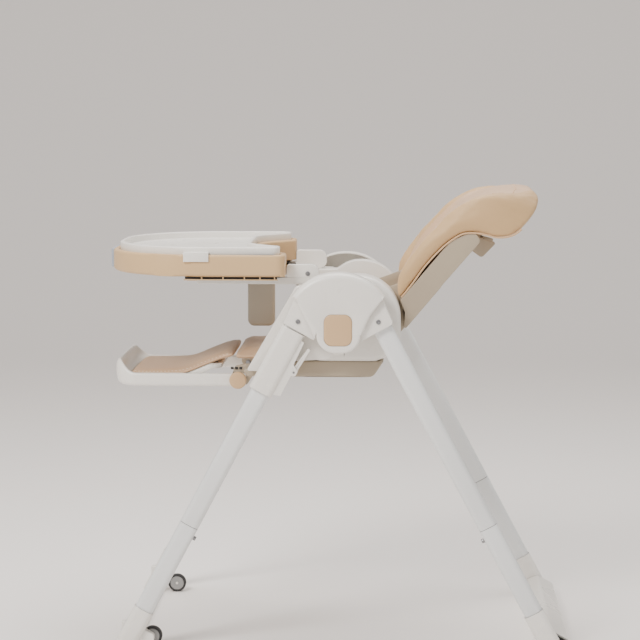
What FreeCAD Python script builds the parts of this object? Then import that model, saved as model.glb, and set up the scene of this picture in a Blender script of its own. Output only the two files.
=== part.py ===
import FreeCAD, Part
import Sketcher
import math
import os

# Folding baby high chair. The sitter faces -Y, +X is the sitter's left, +Z is up.
# The origin is the middle of the footprint on the floor. All sizes are in millimetres.

doc = FreeCAD.newDocument("high_chair")
sheet = doc.addObject("Spreadsheet::Sheet", "dims")
nodes = []


class Size:
    """A length with its value and the spreadsheet expression that gives it."""

    def __init__(self, value, text=None):
        self.value = float(value)
        self.text = repr(self.value) if text is None else text

    def __add__(self, other):
        other = as_size(other)
        return Size(self.value + other.value, "(%s + %s)" % (self.text, other.text))

    def __sub__(self, other):
        other = as_size(other)
        return Size(self.value - other.value, "(%s - %s)" % (self.text, other.text))

    def __mul__(self, other):
        other = as_size(other)
        return Size(self.value * other.value, "(%s * %s)" % (self.text, other.text))

    def __truediv__(self, other):
        other = as_size(other)
        return Size(self.value / other.value, "(%s / %s)" % (self.text, other.text))

    def __radd__(self, other):
        return as_size(other) + self

    def __rsub__(self, other):
        return as_size(other) - self

    def __rmul__(self, other):
        return as_size(other) * self

    def __neg__(self):
        return Size(-self.value, "(0 - %s)" % self.text)


def as_size(number):
    return number if isinstance(number, Size) else Size(number)


def sine(angle):
    return Size(math.sin(math.radians(angle.value)), "sin(%s)" % angle.text)


def cosine(angle):
    return Size(math.cos(math.radians(angle.value)), "cos(%s)" % angle.text)


def dimension(alias, value):
    """Put one driving dimension in the sheet and return it as a Size."""
    row = dimension.count + 1
    dimension.count = row
    sheet.set("A%d" % row, alias)
    sheet.set("B%d" % row, str(value))
    sheet.setAlias("B%d" % row, alias)
    return Size(value, "dims.%s" % alias)


dimension.count = 0


def bind(target, prop, size):
    target.setExpression(prop, as_size(size).text)


# ---------------------------------------------------------------- driving dimensions
gap = dimension("gap", 0.4)                          # clearance between pieces that move
hub_y = dimension("hub_y", 13)                       # folding axis, from the origin
hub_z = dimension("hub_z", 674)
leg_angle = dimension("leg_angle", 28)               # each leg from the vertical
leg_offset = dimension("leg_offset", 80)             # leg axis from the folding axis
leg_x = dimension("leg_x", 262)                      # leg plane from the middle
leg_width = dimension("leg_width", 40)
leg_depth = dimension("leg_depth", 24)
tube_wall = dimension("tube_wall", 1.6)
joint_reach = dimension("joint_reach", 507)          # from the folding axis along the leg
foot_reach = dimension("foot_reach", 711)
spigot_length = dimension("spigot_length", 50)
cover_radius = dimension("cover_radius", 116)
boss_radius = dimension("boss_radius", 48)
cover_face_x = dimension("cover_face_x", 294)
cover_back_x = dimension("cover_back_x", 246)
cover_wall = dimension("cover_wall", 3.2)
bracket_front_x = dimension("bracket_front_x", 283)  # outer face of the leg brackets
bracket_back_x = dimension("bracket_back_x", 247)
bracket_reach = dimension("bracket_reach", 42.5)     # lower edge of a bracket along its leg
bracket_edge = dimension("bracket_edge", 105)        # outer edge of a bracket off its leg
button_wide = dimension("button_wide", 57)
button_tall = dimension("button_tall", 64)
bolt_radius = dimension("bolt_radius", 6)
wheel_radius = dimension("wheel_radius", 20.5)
wheel_y = dimension("wheel_y", -378)
wheel_x = dimension("wheel_x", 235)
wheel_width = dimension("wheel_width", 14)
sleeve_top = dimension("sleeve_top", 45)             # along the leg from the folding axis
sleeve_bottom = dimension("sleeve_bottom", 190)
sleeve_width = dimension("sleeve_width", 52)
sleeve_depth = dimension("sleeve_depth", 38)
arm_x = dimension("arm_x", 190)                      # tray arm centre plane
arm_thick = dimension("arm_thick", 18)
arm_low = dimension("arm_low", 759)
tray_half = dimension("tray_half", 250)
tray_bottom = dimension("tray_bottom", 778)
tray_rim = dimension("tray_rim", 823)
tray_front = dimension("tray_front", -475)
tray_back = dimension("tray_back", -98)
tray_lip = dimension("tray_lip", 12)
tray_round = dimension("tray_round", 200)            # plan radius of the tray's front corners
seat_half = dimension("seat_half", 212)
bucket_half = dimension("bucket_half", 149.6)
shell_wall = dimension("shell_wall", 5)
seat_low = dimension("seat_low", 567)
seat_floor = dimension("seat_floor", 582)
armrest_x = dimension("armrest_x", 215)
back_pivot_y = dimension("back_pivot_y", 171)
back_pivot_z = dimension("back_pivot_z", 745)
back_angle = dimension("back_angle", 40)             # backrest from the vertical at rest
back_half = dimension("back_half", 190)
back_core = dimension("back_core", 139)
legrest_y = dimension("legrest_y", -202)
legrest_z = dimension("legrest_z", 552)
legrest_half = dimension("legrest_half", 155)
legrest_arm = dimension("legrest_arm", 13)
legrest_length = dimension("legrest_length", 262)


# ---------------------------------------------------------------- modelling helpers
def new_body(name):
    body = doc.addObject("PartDesign::Body", name)
    body.Label = name
    return body


def origin_plane(body, role):
    for feature in body.Origin.OriginFeatures:
        if feature.Role == role:
            return feature
    raise ValueError(role)


def new_sketch(body, name, role, offset=0):
    sketch = body.newObject("Sketcher::SketchObject", name)
    sketch.AttachmentSupport = (origin_plane(body, role), [""])
    sketch.MapMode = "FlatFace"
    bind(sketch, ".AttachmentOffset.Base.z", offset)
    return sketch


def fix_point(sketch, geometry, position, across, up):
    """Tie one point of the sketch to its two coordinates."""
    for kind, size in (("DistanceX", across), ("DistanceY", up)):
        index = sketch.addConstraint(Sketcher.Constraint(kind, -1, 1, geometry, position, size.value))
        bind(sketch, "Constraints[%d]" % index, size)


def outline(sketch, corners):
    """Closed outline through the corners (across, up) or (across, up, rounding radius)."""
    corners = [tuple(as_size(part) for part in corner) for corner in corners]
    count = len(corners)
    points = [FreeCAD.Vector(corner[0].value, corner[1].value, 0) for corner in corners]
    starts, ends, centres = [], [], []
    for i, corner in enumerate(corners):
        here, before, after = points[i], points[i - 1], points[(i + 1) % count]
        if len(corner) == 2:
            starts.append(here)
            ends.append(here)
            centres.append(None)
            continue
        back = (before - here).normalize()
        ahead = (after - here).normalize()
        half = back.getAngle(ahead) / 2
        reach = corner[2].value / math.tan(half)
        centres.append(here + (back + ahead).normalize() * (corner[2].value / math.sin(half)))
        starts.append(here + back * reach)
        ends.append(here + ahead * reach)
    lines = [sketch.addGeometry(Part.LineSegment(ends[i], starts[(i + 1) % count])) for i in range(count)]
    for i, corner in enumerate(corners):
        line_in, line_out = lines[i - 1], lines[i]
        if centres[i] is None:
            sketch.addConstraint(Sketcher.Constraint("Coincident", line_in, 2, line_out, 1))
            fix_point(sketch, line_out, 1, corner[0], corner[1])
            continue
        turn = (starts[i] - centres[i]).cross(ends[i] - centres[i]).z
        circle = Part.Circle(centres[i], FreeCAD.Vector(0, 0, 1), corner[2].value)
        first, last = (starts[i], ends[i]) if turn > 0 else (ends[i], starts[i])
        arc = sketch.addGeometry(Part.ArcOfCircle(circle, circle.parameter(first), circle.parameter(last)))
        arc_in, arc_out = (1, 2) if turn > 0 else (2, 1)
        sketch.addConstraint(Sketcher.Constraint("Tangent", line_in, 2, arc, arc_in))
        sketch.addConstraint(Sketcher.Constraint("Tangent", arc, arc_out, line_out, 1))
        index = sketch.addConstraint(Sketcher.Constraint("Radius", arc, corner[2].value))
        bind(sketch, "Constraints[%d]" % index, corner[2])
        mark = sketch.addGeometry(Part.Point(points[i]), True)
        sketch.addConstraint(Sketcher.Constraint("PointOnObject", mark, 1, line_in))
        sketch.addConstraint(Sketcher.Constraint("PointOnObject", mark, 1, line_out))
        fix_point(sketch, mark, 1, corner[0], corner[1])


def circle(sketch, across, up, radius):
    across, up, radius = as_size(across), as_size(up), as_size(radius)
    centre = FreeCAD.Vector(across.value, up.value, 0)
    ring = sketch.addGeometry(Part.Circle(centre, FreeCAD.Vector(0, 0, 1), radius.value))
    fix_point(sketch, ring, 3, across, up)
    index = sketch.addConstraint(Sketcher.Constraint("Radius", ring, radius.value))
    bind(sketch, "Constraints[%d]" % index, radius)


def box_corners(low_a, low_b, high_a, high_b, radius=None):
    corners = [(low_a, low_b), (high_a, low_b), (high_a, high_b), (low_a, high_b)]
    return corners if radius is None else [corner + (radius,) for corner in corners]


def add_pad(body, name, role, low, high, shapes, cut=False):
    """Extrude outlines drawn on an origin plane from low to high along that plane's normal.

    The XZ plane's normal points along -Y, so there low and high count towards -Y."""
    sketch = new_sketch(body, name + "_sketch", role, low)
    for shape in shapes:
        if shape[0] == "circle":
            circle(sketch, *shape[1:])
        else:
            outline(sketch, shape)
    kind = "PartDesign::Pocket" if cut else "PartDesign::Pad"
    feature = body.newObject(kind, name)
    feature.Profile = sketch
    bind(feature, "Length", as_size(high) - low)
    feature.Reversed = cut
    sketch.Visibility = False
    before = body.Tip
    doc.recompute()
    if cut and feature.Shape.Volume >= feature.BaseFeature.Shape.Volume - 1:
        raise ValueError("%s cuts nothing" % name)
    if before is None:
        raise ValueError("%s has no tip" % name)
    return feature


def turn_about_x(target, angle, centre_y, centre_z):
    """Place an object built about its own axis: turned about X, then moved to the axis."""
    target.Placement = FreeCAD.Placement(
        FreeCAD.Vector(0, as_size(centre_y).value, as_size(centre_z).value),
        FreeCAD.Rotation(FreeCAD.Vector(1, 0, 0), as_size(angle).value))
    bind(target, ".Placement.Base.y", centre_y)
    bind(target, ".Placement.Base.z", centre_z)
    bind(target, ".Placement.Rotation.Angle", angle)


def keep(target, name):
    target.Label = name
    nodes.append(target)
    return target


def mirrored(target, name):
    """The same piece on the sitter's right."""
    copy = doc.addObject("Part::Mirroring", name)
    copy.Source = target
    copy.Base = FreeCAD.Vector(0, 0, 0)
    copy.Normal = FreeCAD.Vector(1, 0, 0)
    return keep(copy, name)


def pair(target, name):
    """Keep a left piece and its mirror image as two nodes."""
    keep(target, name + "_left")
    mirrored(target, name + "_right")


def group(target, name):
    """Keep a left piece and its mirror image as one node of two solids."""
    other = doc.addObject("Part::Mirroring", name + "_mirror")
    other.Source = target
    other.Normal = FreeCAD.Vector(1, 0, 0)
    both = doc.addObject("Part::Compound", name)
    both.Links = [target, other]
    target.Label = name + "_one"
    return keep(both, name)


def fuse(name, *pieces):
    joined = doc.addObject("Part::MultiFuse", name)
    joined.Shapes = list(pieces)
    joined.Refine = True
    return joined


def cut(name, base, tool):
    left = doc.addObject("Part::Cut", name)
    left.Base = base
    left.Tool = tool
    return left


# ---------------------------------------------------------------- legs
def leg_profile(grow):
    """Flat-sided oval of a leg tube, grown by a distance all round."""
    wide = leg_width / 2 + grow
    deep = leg_depth / 2 + grow
    return box_corners(leg_x - deep, -wide, leg_x + deep, wide, deep - 0.6)


def place_on_leg(body, side):
    """Front legs (side -1) lean one way, rear legs (side 1) the other, each off the folding axis."""
    shift_y = leg_offset * cosine(leg_angle) * side
    turn_about_x(body, leg_angle * side, hub_y + shift_y, hub_z + leg_offset * sine(leg_angle))


for side, end in ((-1, "front"), (1, "rear")):
    upper = new_body(end + "_leg_upper")
    add_pad(upper, end + "_upper_tube", "XY_Plane", -joint_reach, Size(-4),
            [leg_profile(Size(0)), leg_profile(-tube_wall)])
    place_on_leg(upper, side)
    pair(upper, end + "_leg_upper")
    lower = new_body(end + "_leg_lower")
    spigot = -tube_wall - 0.15
    add_pad(lower, end + "_lower_spigot", "XY_Plane", -joint_reach - 14, spigot_length - joint_reach,
            [leg_profile(spigot), leg_profile(spigot - tube_wall)])
    add_pad(lower, end + "_lower_tube", "XY_Plane", -foot_reach - 22, -joint_reach - 1,
            [leg_profile(Size(0)), leg_profile(-tube_wall - 0.5)])
    place_on_leg(lower, side)
    pair(lower, end + "_leg_lower")
    # Sprung pin that locks the two tubes, on the face between the legs.
    pin = new_body(end + "_snap_pin")
    add_pad(pin, end + "_snap_stem", "XZ_Plane", leg_width / 2 * side + 0.1 * side,
            leg_width / 2 * side + 0.1 * side + 5.5 * side, [("circle", leg_x, -joint_reach - 21, 4.5)])
    place_on_leg(pin, side)
    group(pin, end + "_snap_pins")


# ---------------------------------------------------------------- leg brackets at the folding axis
def leg_bracket(name, side, disc_low, disc_high, disc_radius, tube_top):
    """Moulded socket for the top end of a leg, with a disc that turns on the folding bolt."""
    body = new_body(name)
    low = -bracket_reach
    block = [(33 * as_size(side), low), (bracket_edge * side, low + 1, 6),
             ((bracket_edge + 3) * side, Size(12)), (50 * as_size(side), Size(12))]
    web = [(Size(0), 4 - disc_radius), (45 * as_size(side), low + 3), (60 * as_size(side), Size(11)),
           (Size(0), disc_radius - 4)]
    add_pad(body, name + "_block", "YZ_Plane", bracket_back_x, bracket_front_x, [block])
    add_pad(body, name + "_web", "YZ_Plane", disc_low, disc_high, [web])
    add_pad(body, name + "_disc", "YZ_Plane", disc_low, disc_high, [("circle", 0, 0, disc_radius)])
    add_pad(body, name + "_bore", "YZ_Plane", disc_low - 1, disc_high + 1,
            [("circle", 0, 0, bolt_radius + 0.05)], cut=True)
    socket = box_corners(leg_x - leg_depth / 2 - 0.1, leg_offset * side - leg_width / 2 - 0.1,
                         leg_x + leg_depth / 2 + 0.1, leg_offset * side + leg_width / 2 + 0.1, 11)
    add_pad(body, name + "_socket", "XY_Plane", low - 1, tube_top, [socket], cut=True)
    turn_about_x(body, leg_angle * side, hub_y, hub_z)
    return body


front_bracket = leg_bracket("front_bracket", -1, bracket_back_x, bracket_back_x + 5, Size(42), Size(-3.8))
pair(front_bracket, "front_bracket")
rear_bracket = leg_bracket("rear_bracket", 1, bracket_back_x + 6, bracket_back_x + 13, Size(38), Size(-3.8))
pair(rear_bracket, "rear_bracket")

for side, end in ((-1, "front"), (1, "rear")):
    screw = new_body(end + "_screw")
    add_pad(screw, end + "_screw_head", "YZ_Plane", bracket_front_x, bracket_front_x + 2,
            [("circle", leg_offset * side, -24, 5)])
    add_pad(screw, end + "_screw_drive", "YZ_Plane", bracket_front_x + 1, bracket_front_x + 2.5,
            [box_corners(leg_offset * side - 1.5, Size(-25.5), leg_offset * side + 1.5, Size(-22.5))], cut=True)
    turn_about_x(screw, leg_angle * side, hub_y, hub_z)
    group(screw, end + "_bracket_screws")

bolt = new_body("pivot_bolt")
add_pad(bolt, "bolt_shank", "YZ_Plane", bracket_back_x - 1, bracket_back_x + 15, [("circle", 0, 0, bolt_radius)])
add_pad(bolt, "bolt_head", "YZ_Plane", bracket_back_x + 13.4, bracket_back_x + 19, [("circle", 0, 0, 13)])
turn_about_x(bolt, Size(0), hub_y, hub_z)
group(bolt, "pivot_bolts")


# ---------------------------------------------------------------- hub covers and folding buttons
def dome(radius):
    """Arc over the folding axis, 54 degrees to each side of its top."""
    return [(-radius * 0.809, radius * 0.588), (-radius * 0.51, radius, radius * 0.97),
            (radius * 0.51, radius, radius * 0.97), (radius * 0.809, radius * 0.588)]


cover = new_body("hub_cover")
face_outline = ([(-78, Size(46))] + dome(cover_radius)
                + [(Size(66), Size(30), 60), (Size(47), Size(-14)), (Size(48), -boss_radius, 40),
                   (Size(-48), -boss_radius, 40), (Size(-46), Size(-20))])
add_pad(cover, "cover_face", "YZ_Plane", cover_face_x - 8, cover_face_x, [face_outline])
add_pad(cover, "cover_boss", "YZ_Plane", bracket_front_x, cover_face_x - 7, [("circle", -60, 35, 7)])
add_pad(cover, "cover_rim", "YZ_Plane", cover_back_x, cover_face_x - 7, [dome(cover_radius)])
hollow = cover_radius - cover_wall
inside = [(-hollow * 0.809, hollow * 0.5)] + dome(hollow) + [(hollow * 0.809, hollow * 0.5)]
add_pad(cover, "cover_hollow", "YZ_Plane", cover_back_x - 1, cover_face_x - 8, [inside], cut=True)
add_pad(cover, "button_well", "YZ_Plane", cover_face_x - 9, cover_face_x + 1,
        [box_corners(-button_wide / 2 - gap, -button_tall / 2 - gap, button_wide / 2 + gap,
                     button_tall / 2 + gap, 16)], cut=True)
turn_about_x(cover, Size(0), hub_y, hub_z)
pair(cover, "hub_cover")

button = new_body("fold_button")
add_pad(button, "button_cap", "YZ_Plane", cover_face_x - 9, cover_face_x + 2,
        [box_corners(-button_wide / 2, -button_tall / 2, button_wide / 2, button_tall / 2, 16)])
turn_about_x(button, Size(0), hub_y, hub_z)
pair(button, "fold_button")


# ---------------------------------------------------------------- feet, cross bars and wheels
def foot(name, side):
    """Moulded shoe around a leg's lower end, cut flat by the floor."""
    body = new_body(name)
    grow = Size(1.8)
    add_pad(body, name + "_shoe", "XY_Plane", -foot_reach - 130, -foot_reach, [leg_profile(grow)])
    add_pad(body, name + "_socket", "XY_Plane", -foot_reach - 23, Size(0) - foot_reach + 1,
            [leg_profile(Size(0.1))], cut=True)
    place_on_leg(body, side)
    slab = doc.addObject("Part::Box", name + "_room")
    slab.Length, slab.Width, slab.Height = 200, 400, 300
    slab.Placement.Base = FreeCAD.Vector(leg_x.value - 100, side * 450 - 200 + hub_y.value, 0)
    bind(slab, ".Placement.Base.x", leg_x - 100)
    shoe = doc.addObject("Part::Common", name + "_trimmed")
    shoe.Base = body
    shoe.Tool = slab
    return shoe


foot_y = {}
for side, end in ((-1, "front"), (1, "rear")):
    reach_y = (hub_z + leg_offset * sine(leg_angle)) / cosine(leg_angle) * sine(leg_angle)
    foot_y[end] = hub_y + (leg_offset * cosine(leg_angle) + reach_y) * side

fork_back = foot_y["front"] + 10
fork = new_body("wheel_fork")
add_pad(fork, "fork_cheek", "YZ_Plane", wheel_x + wheel_width / 2 + 1, leg_x,
        [[(fork_back - 14, Size(8), 4), (wheel_y + 6, Size(12), 7), (wheel_y + 6, Size(28), 7),
          (fork_back + 2, Size(56), 4), (fork_back - 14, Size(56))]])
add_pad(fork, "fork_axle", "YZ_Plane", wheel_x - wheel_width / 2 - 2, wheel_x + wheel_width / 2 + 2,
        [("circle", wheel_y, wheel_radius, 3)])
pair(fuse("front_foot_whole", foot("front_foot", -1), fork), "front_foot")
pair(foot("rear_foot", 1), "rear_foot")

bar_end = leg_x - leg_depth / 2 - 1.9
front_bar = new_body("front_cross_bar")
bar_y = foot_y["front"] + 8
cheek_x = wheel_x + wheel_width / 2 + 1
add_pad(front_bar, "front_bar", "YZ_Plane", -cheek_x, cheek_x,
        [box_corners(bar_y - 14, Size(4), bar_y + 14, Size(26), 10),
         box_corners(bar_y - 12, Size(6), bar_y + 12, Size(24), 8)])
keep(front_bar, "front_cross_bar")

rear_bar = new_body("rear_cross_bar")
bar_y = foot_y["rear"] - 2
add_pad(rear_bar, "rear_bar", "YZ_Plane", -bar_end, bar_end,
        [[(bar_y - 30, Size(4)), (bar_y + 32, Size(4)), (bar_y + 32, Size(24), 8), (bar_y - 4, Size(44), 14),
          (bar_y - 30, Size(34), 8)],
         [(bar_y - 27, Size(7)), (bar_y + 29, Size(7)), (bar_y + 29, Size(22), 6), (bar_y - 4, Size(40), 12),
          (bar_y - 27, Size(31), 6)]])
keep(rear_bar, "rear_cross_bar")

pad = new_body("floor_pad")
add_pad(pad, "rear_floor_pad", "YZ_Plane", leg_x - 60, leg_x - 20,
        [box_corners(bar_y - 26, Size(0), bar_y + 28, Size(4))])
group(pad, "floor_pads")

rim = new_body("wheel_rim")
add_pad(rim, "rim_disc", "YZ_Plane", wheel_x - wheel_width / 2, wheel_x + wheel_width / 2,
        [("circle", wheel_y, wheel_radius, wheel_radius - 5), ("circle", wheel_y, wheel_radius, 3.05)])
pair(rim, "front_wheel")
tyre = new_body("wheel_tyre")
add_pad(tyre, "tyre_ring", "YZ_Plane", wheel_x - wheel_width / 2, wheel_x + wheel_width / 2,
        [("circle", wheel_y, wheel_radius, wheel_radius), ("circle", wheel_y, wheel_radius, wheel_radius - 4.95)])
pair(tyre, "front_tyre")


# ---------------------------------------------------------------- height sleeves and their levers
sleeve = new_body("height_sleeve")
off = -leg_offset
sleeve_low_x = leg_x - sleeve_depth / 2
sleeve_high_x = leg_x + sleeve_depth / 2
add_pad(sleeve, "sleeve_wall", "XY_Plane", -sleeve_bottom, -sleeve_top,
        [box_corners(sleeve_low_x, off - sleeve_width / 2, sleeve_high_x, off + sleeve_width / 2, 13)])
housing_back = off + sleeve_width / 2 + 16
add_pad(sleeve, "lever_housing", "YZ_Plane", leg_x - 12, leg_x + 12,
        [[(off + 10, -sleeve_top - 12), (off + 10, -sleeve_bottom + 2), (housing_back - 2, -sleeve_bottom + 12, 3),
          (housing_back - 2, Size(-131), 2), (housing_back + 6, Size(-128), 5), (housing_back + 6, Size(-116), 5),
          (housing_back - 8, Size(-108), 4), (housing_back - 10, -sleeve_top - 12, 4)]])
add_pad(sleeve, "lever_slot", "YZ_Plane", leg_x - 8.4, leg_x + 8.4,
        [[(off + 22, -sleeve_top - 20), (off + 22, -sleeve_bottom + 30), (housing_back + 9, -sleeve_bottom + 30),
          (housing_back + 9, -sleeve_top - 20)]], cut=True)
pin_ly = housing_back - 0.5
pin_lz = Size(-122)
add_pad(sleeve, "pin_bore", "YZ_Plane", leg_x - 13, leg_x + 13, [("circle", pin_ly, pin_lz, 2)], cut=True)
inner = leg_depth / 2 + gap
bore = box_corners(leg_x - inner, off - leg_width / 2 - gap, leg_x + inner, off + leg_width / 2 + gap, 11)
add_pad(sleeve, "tube_bore", "XY_Plane", -sleeve_bottom - 1, -sleeve_top + 1, [bore], cut=True)
turn_about_x(sleeve, -leg_angle, hub_y, hub_z)

plate = new_body("seat_bracket")
add_pad(plate, "bracket_plate", "YZ_Plane", armrest_x + 0.6, sleeve_low_x,
        [[(hub_y - 89, hub_z + 84, 6), (hub_y - 191, hub_z - 91, 4), (hub_y - 160, hub_z - 91, 6),
          (hub_y - 96, hub_z - 70, 10), (hub_y - 20, hub_z - 66, 12), (hub_y + 6, hub_z - 30, 12),
          (hub_y + 6, hub_z + 60, 12), (hub_y - 30, hub_z + 84, 8)]])
pair(fuse("seat_bracket_whole", plate, sleeve), "seat_bracket")

lever = new_body("height_lever")
add_pad(lever, "lever_blade", "YZ_Plane", leg_x - 7.6, leg_x + 7.6,
        [[(pin_ly - 6, pin_lz - 16, 2), (pin_ly + 1, pin_lz - 15, 2), (pin_ly + 5, pin_lz + 2, 3),
          (pin_ly + 9, pin_lz + 57, 3), (pin_ly + 3, pin_lz + 58, 3), (pin_ly - 5, pin_lz + 8, 4)]])
add_pad(lever, "lever_bore", "YZ_Plane", leg_x - 9, leg_x + 9, [("circle", pin_ly, pin_lz, Size(2.05))], cut=True)
turn_about_x(lever, -leg_angle, hub_y, hub_z)
pair(lever, "height_lever")

pin = new_body("lever_pin")
add_pad(pin, "lever_pin_bar", "YZ_Plane", leg_x - 13, leg_x + 13, [("circle", pin_ly, pin_lz, 2)])
turn_about_x(pin, -leg_angle, hub_y, hub_z)
lever_pin = pin


# ---------------------------------------------------------------- seat
def hub_points(points):
    """Corners given from the folding axis, moved to the object's own frame."""
    return [(hub_y + point[0], hub_z + point[1]) + tuple(point[2:]) for point in points]


def cross_box(name, low_x, high_x, low_y, high_y, low_z, high_z):
    block = doc.addObject("Part::Box", name)
    bind(block, "Length", as_size(high_x) - low_x)
    bind(block, "Width", as_size(high_y) - low_y)
    bind(block, "Height", as_size(high_z) - low_z)
    bind(block, ".Placement.Base.x", low_x)
    bind(block, ".Placement.Base.y", low_y)
    bind(block, ".Placement.Base.z", low_z)
    return block


tub = new_body("seat_tub")
pan = hub_points([(-200, -96, 4), (-190, -107, 8), (70, -107, 16), (92, -73.6), (-80, -73.6), (-100, -91),
                  (-196, -91)])
add_pad(tub, "tub_pan", "YZ_Plane", -seat_half, seat_half, [pan])
side_wall = hub_points([(-88, -92, 8), (-62, 4, 20), (-20, 30, 20), (60, 60, 30), (146, 92, 12), (176, 84, 14),
                        (176, 58, 14), (140, 50, 20), (96, 4, 20), (90, -60, 8), (60, -92, 8)])
add_pad(tub, "tub_sides", "YZ_Plane", -bucket_half, bucket_half, [side_wall])
inside_half = bucket_half - shell_wall
add_pad(tub, "tub_inside", "YZ_Plane", -inside_half, inside_half,
        [hub_points([(-230, -91), (64, -91, 10), (84, -62, 10), (84, -43.5), (200, -43.5), (200, 140), (-230, 140)])],
        cut=True)
add_pad(tub, "tub_underside", "XY_Plane", seat_low - 1, seat_floor - 5,
        [box_corners(Size(-140), hub_y - 82, Size(140), hub_y + 52, 12)], cut=True)
for low, high in ((-seat_half + 5, -seat_half + 36), (seat_half - 36, seat_half - 5)):
    add_pad(tub, "tub_pocket_%d" % (low.value > 0), "XY_Plane", seat_low - 1, seat_floor + 12,
            [box_corners(low, hub_y - 76, high, hub_y + 52, 8)], cut=True)
ear = hub_points([(-96, -107), (-96, -91), (-205, -91, 4), (-224, -96, 6), (-232, -122, 16), (-215, -139, 16),
                  (-198, -136, 16), (-180, -107, 10)])
add_pad(tub, "legrest_ears", "YZ_Plane", -legrest_half + legrest_arm + 4, legrest_half - legrest_arm - 4, [ear])
add_pad(tub, "between_ears", "YZ_Plane", -legrest_half + legrest_arm + 16, legrest_half - legrest_arm - 16,
        [hub_points([(-260, -160), (-192, -160), (-192, -86), (-260, -86)])], cut=True)
add_pad(tub, "legrest_bores", "YZ_Plane", -legrest_half, legrest_half,
        [("circle", legrest_y, legrest_z, Size(6.05))], cut=True)
add_pad(tub, "back_bores", "YZ_Plane", -bucket_half - 1, bucket_half + 1,
        [("circle", back_pivot_y, back_pivot_z, Size(5))], cut=True)
keep(tub, "seat_shell")

armrest = new_body("armrest")
add_pad(armrest, "armrest_block", "YZ_Plane", bucket_half, armrest_x,
        [hub_points([(-87, 84.7, 6), (-92, 20, 20), (-60, -73, 24), (127, -73, 60), (127, 105, 88.9),
                     (19, 104.4, 60), (0, 97, 60), (-18, 84.7, 8)])])
add_pad(armrest, "armrest_hollow", "XY_Plane", hub_z - 75, hub_z + 74,
        [box_corners(bucket_half + 3, hub_y - 46, armrest_x - 4, hub_y + 84, 10)], cut=True)
add_pad(armrest, "bracket_seat", "YZ_Plane", armrest_x - 1, armrest_x + 0.6,
        [hub_points([(-80, 60), (-60, -55), (0, -55), (0, 60)])])
pair(armrest, "armrest")

cushion = new_body("seat_cushion")
add_pad(cushion, "seat_cushion_pad", "YZ_Plane", -inside_half + 1.2, inside_half - 1.2,
        [hub_points([(-226, -83, 5), (-226, -64, 8), (30, -67, 40), (64, -20, 8), (78, -24, 6), (74, -76, 16),
                     (56, -90.6, 8), (-186, -90.6), (-190, -87)])])
keep(cushion, "seat_cushion")

arm_tail = new_body("tray_arm")
add_pad(arm_tail, "arm_bar", "YZ_Plane", arm_x - arm_thick / 2, arm_x + arm_thick / 2,
        [[(hub_y - 297, arm_low, 4), (hub_y - 297, arm_low + 15, 6), (tray_back + 1, arm_low + 15),
          (tray_back + 1, arm_low + 41, 6), (hub_y - 42, arm_low + 41, 17), (hub_y - 42, arm_low + 8, 14),
          (hub_y - 54, arm_low)]])
add_pad(arm_tail, "arm_groove", "YZ_Plane", arm_x - arm_thick / 2 - 1, arm_x - arm_thick / 2 + 7,
        [box_corners(hub_y - 300, arm_low + 4, tray_back - 2, arm_low + 11)], cut=True)
for step in range(5):
    notch = tray_back - 12 - step * 40
    add_pad(arm_tail, "arm_rib_%d" % step, "YZ_Plane", arm_x - arm_thick / 2, arm_x + arm_thick / 2,
            [box_corners(notch - 1.5, arm_low + 14.5, notch + 1.5, arm_low + 18.2)])
pair(arm_tail, "tray_arm")
screw = new_body("arm_screw")
add_pad(screw, "arm_screw_head", "YZ_Plane", arm_x + arm_thick / 2, arm_x + arm_thick / 2 + 1.6,
        [("circle", hub_y - 66, hub_z + 107, 5)])
both = doc.addObject("Part::Compound", "side_fastener")
both.Links = [lever_pin, screw]
group(both, "side_fasteners")


# ---------------------------------------------------------------- backrest
def back_frame(body):
    """The backrest's own frame: axis at its hinge, Z up along it, Y to its rear."""
    turn_about_x(body, -back_angle, back_pivot_y, back_pivot_z)


shell = new_body("back_shell")
add_pad(shell, "shell_core", "YZ_Plane", -back_core, back_core,
        [[(Size(-12), Size(-97), 6), (Size(35), Size(-97), 10), (Size(36), Size(170), 10), (Size(12), Size(176), 8),
          (Size(-12), Size(128), 12)]])
add_pad(shell, "shell_wings", "YZ_Plane", -back_half + 4, back_half - 4,
        [[(Size(-12), Size(28), 6), (Size(34), Size(28), 8), (Size(36), Size(166), 10), (Size(12), Size(172), 8),
          (Size(-12), Size(128), 20)]])
for end in (-1, 1):
    low, high = (153, back_half - 4) if end > 0 else (4 - back_half, -153)
    add_pad(shell, "wing_skirt_%d" % (end + 1), "YZ_Plane", low, high,
            [[(Size(-12), Size(40)), (Size(-12), Size(-36)), (Size(0), Size(-43)), (Size(20), Size(-62)),
              (Size(30), Size(-76)), (Size(35), Size(-84), 4), (Size(35), Size(40))]])
add_pad(shell, "shell_hollow", "YZ_Plane", -back_core + 5, back_core - 5,
        [[(Size(-8), Size(-92)), (Size(31), Size(-92)), (Size(31), Size(160)), (Size(-8), Size(124))]], cut=True)
add_pad(shell, "hinge_bore", "YZ_Plane", -back_core - 1, back_core + 1, [("circle", 0, 0, 5.05)], cut=True)
add_pad(shell, "handle_cheeks", "YZ_Plane", -54, 54,
        [[(Size(35.5), Size(132)), (Size(70), Size(134), 8), (Size(73), Size(180), 4), (Size(48), Size(168)),
          (Size(35.5), Size(165))]])
add_pad(shell, "handle_room", "YZ_Plane", -48, 48,
        [[(Size(36), Size(120)), (Size(90), Size(120)), (Size(90), Size(190)), (Size(36), Size(190))]], cut=True)
back_frame(shell)
keep(shell, "back_shell")

handle = new_body("recline_handle")
add_pad(handle, "handle_grip", "YZ_Plane", -47, 47,
        [[(Size(37), Size(138), 3), (Size(66), Size(139), 6), (Size(69), Size(162), 6), (Size(37), Size(154), 3)]])
back_frame(handle)
keep(handle, "recline_handle")

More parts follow.
